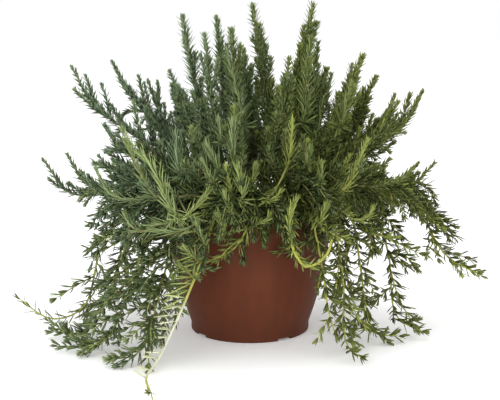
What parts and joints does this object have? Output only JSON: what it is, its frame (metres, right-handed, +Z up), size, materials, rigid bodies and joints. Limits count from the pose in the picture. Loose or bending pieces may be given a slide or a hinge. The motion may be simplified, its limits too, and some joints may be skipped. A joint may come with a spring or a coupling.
{
  "type": "potted rosemary plant",
  "caption": "Trailing rosemary in a round terracotta-coloured plastic pot, with upright, leaning and falling leafy stems in soil.",
  "frame": {"origin": "centre of the pot's flat underside, on the surface that the pot stands on", "axes": "+Z up along the pot's axis, -Y towards the side that the picture shows, +X to the picture's right"},
  "size_m": [0.5927, 0.5013, 0.4007],
  "materials": {
    "pot": "matte terracotta-coloured plastic with faint upright streaks",
    "soil": "dark crumbly potting soil",
    "upright_foliage": "green needle leaves, satin on top and pale below, on woody stems",
    "leaning_foliage": "green needle leaves, satin on top and pale below, on woody stems",
    "trailing_foliage": "yellow-green needle leaves on pale trailing stems"
  },
  "bodies": {
    "root": {"pot": "pot", "soil": "soil", "spire_left_1": "upright_foliage", "spire_left_2": "upright_foliage", "spire_left_3": "upright_foliage", "spire_left_4": "upright_foliage", "spire_middle": "upright_foliage", "spire_right_1": "upright_foliage", "spire_right_2": "upright_foliage", "spire_right_3": "upright_foliage", "spire_right_4": "upright_foliage", "spire_right_5": "upright_foliage", "spire_back_1": "upright_foliage", "spire_back_2": "upright_foliage", "spire_back_3": "upright_foliage", "spire_back_4": "upright_foliage", "spire_front_1": "upright_foliage", "spire_front_2": "upright_foliage", "spire_front_3": "upright_foliage", "spire_front_4": "upright_foliage", "arch_left_1": "leaning_foliage", "arch_left_2": "leaning_foliage", "arch_left_3": "leaning_foliage", "arch_left_4": "leaning_foliage", "arch_left_5": "leaning_foliage", "arch_left_6": "leaning_foliage", "arch_left_7": "leaning_foliage", "arch_right_1": "leaning_foliage", "arch_right_2": "leaning_foliage", "arch_right_3": "leaning_foliage", "arch_right_4": "leaning_foliage", "arch_right_5": "leaning_foliage", "arch_right_6": "leaning_foliage", "arch_back_1": "leaning_foliage", "arch_back_2": "leaning_foliage", "arch_back_3": "leaning_foliage", "arch_front_1": "leaning_foliage", "arch_front_2": "leaning_foliage", "arch_front_3": "leaning_foliage", "arch_front_4": "leaning_foliage", "trail_front_left": "trailing_foliage", "trail_front_middle": "trailing_foliage", "trail_front_curl": "trailing_foliage", "trail_left_1": "trailing_foliage", "trail_left_2": "trailing_foliage", "trail_left_3": "trailing_foliage", "trail_left_4": "trailing_foliage", "trail_left_5": "trailing_foliage", "trail_right_1": "trailing_foliage", "trail_right_2": "trailing_foliage", "trail_right_3": "trailing_foliage", "trail_right_4": "trailing_foliage", "trail_right_5": "trailing_foliage", "trail_right_6": "trailing_foliage", "trail_back_1": "trailing_foliage", "trail_back_2": "trailing_foliage", "trail_back_3": "trailing_foliage", "trail_back_4": "trailing_foliage"}
  },
  "joints": []
}
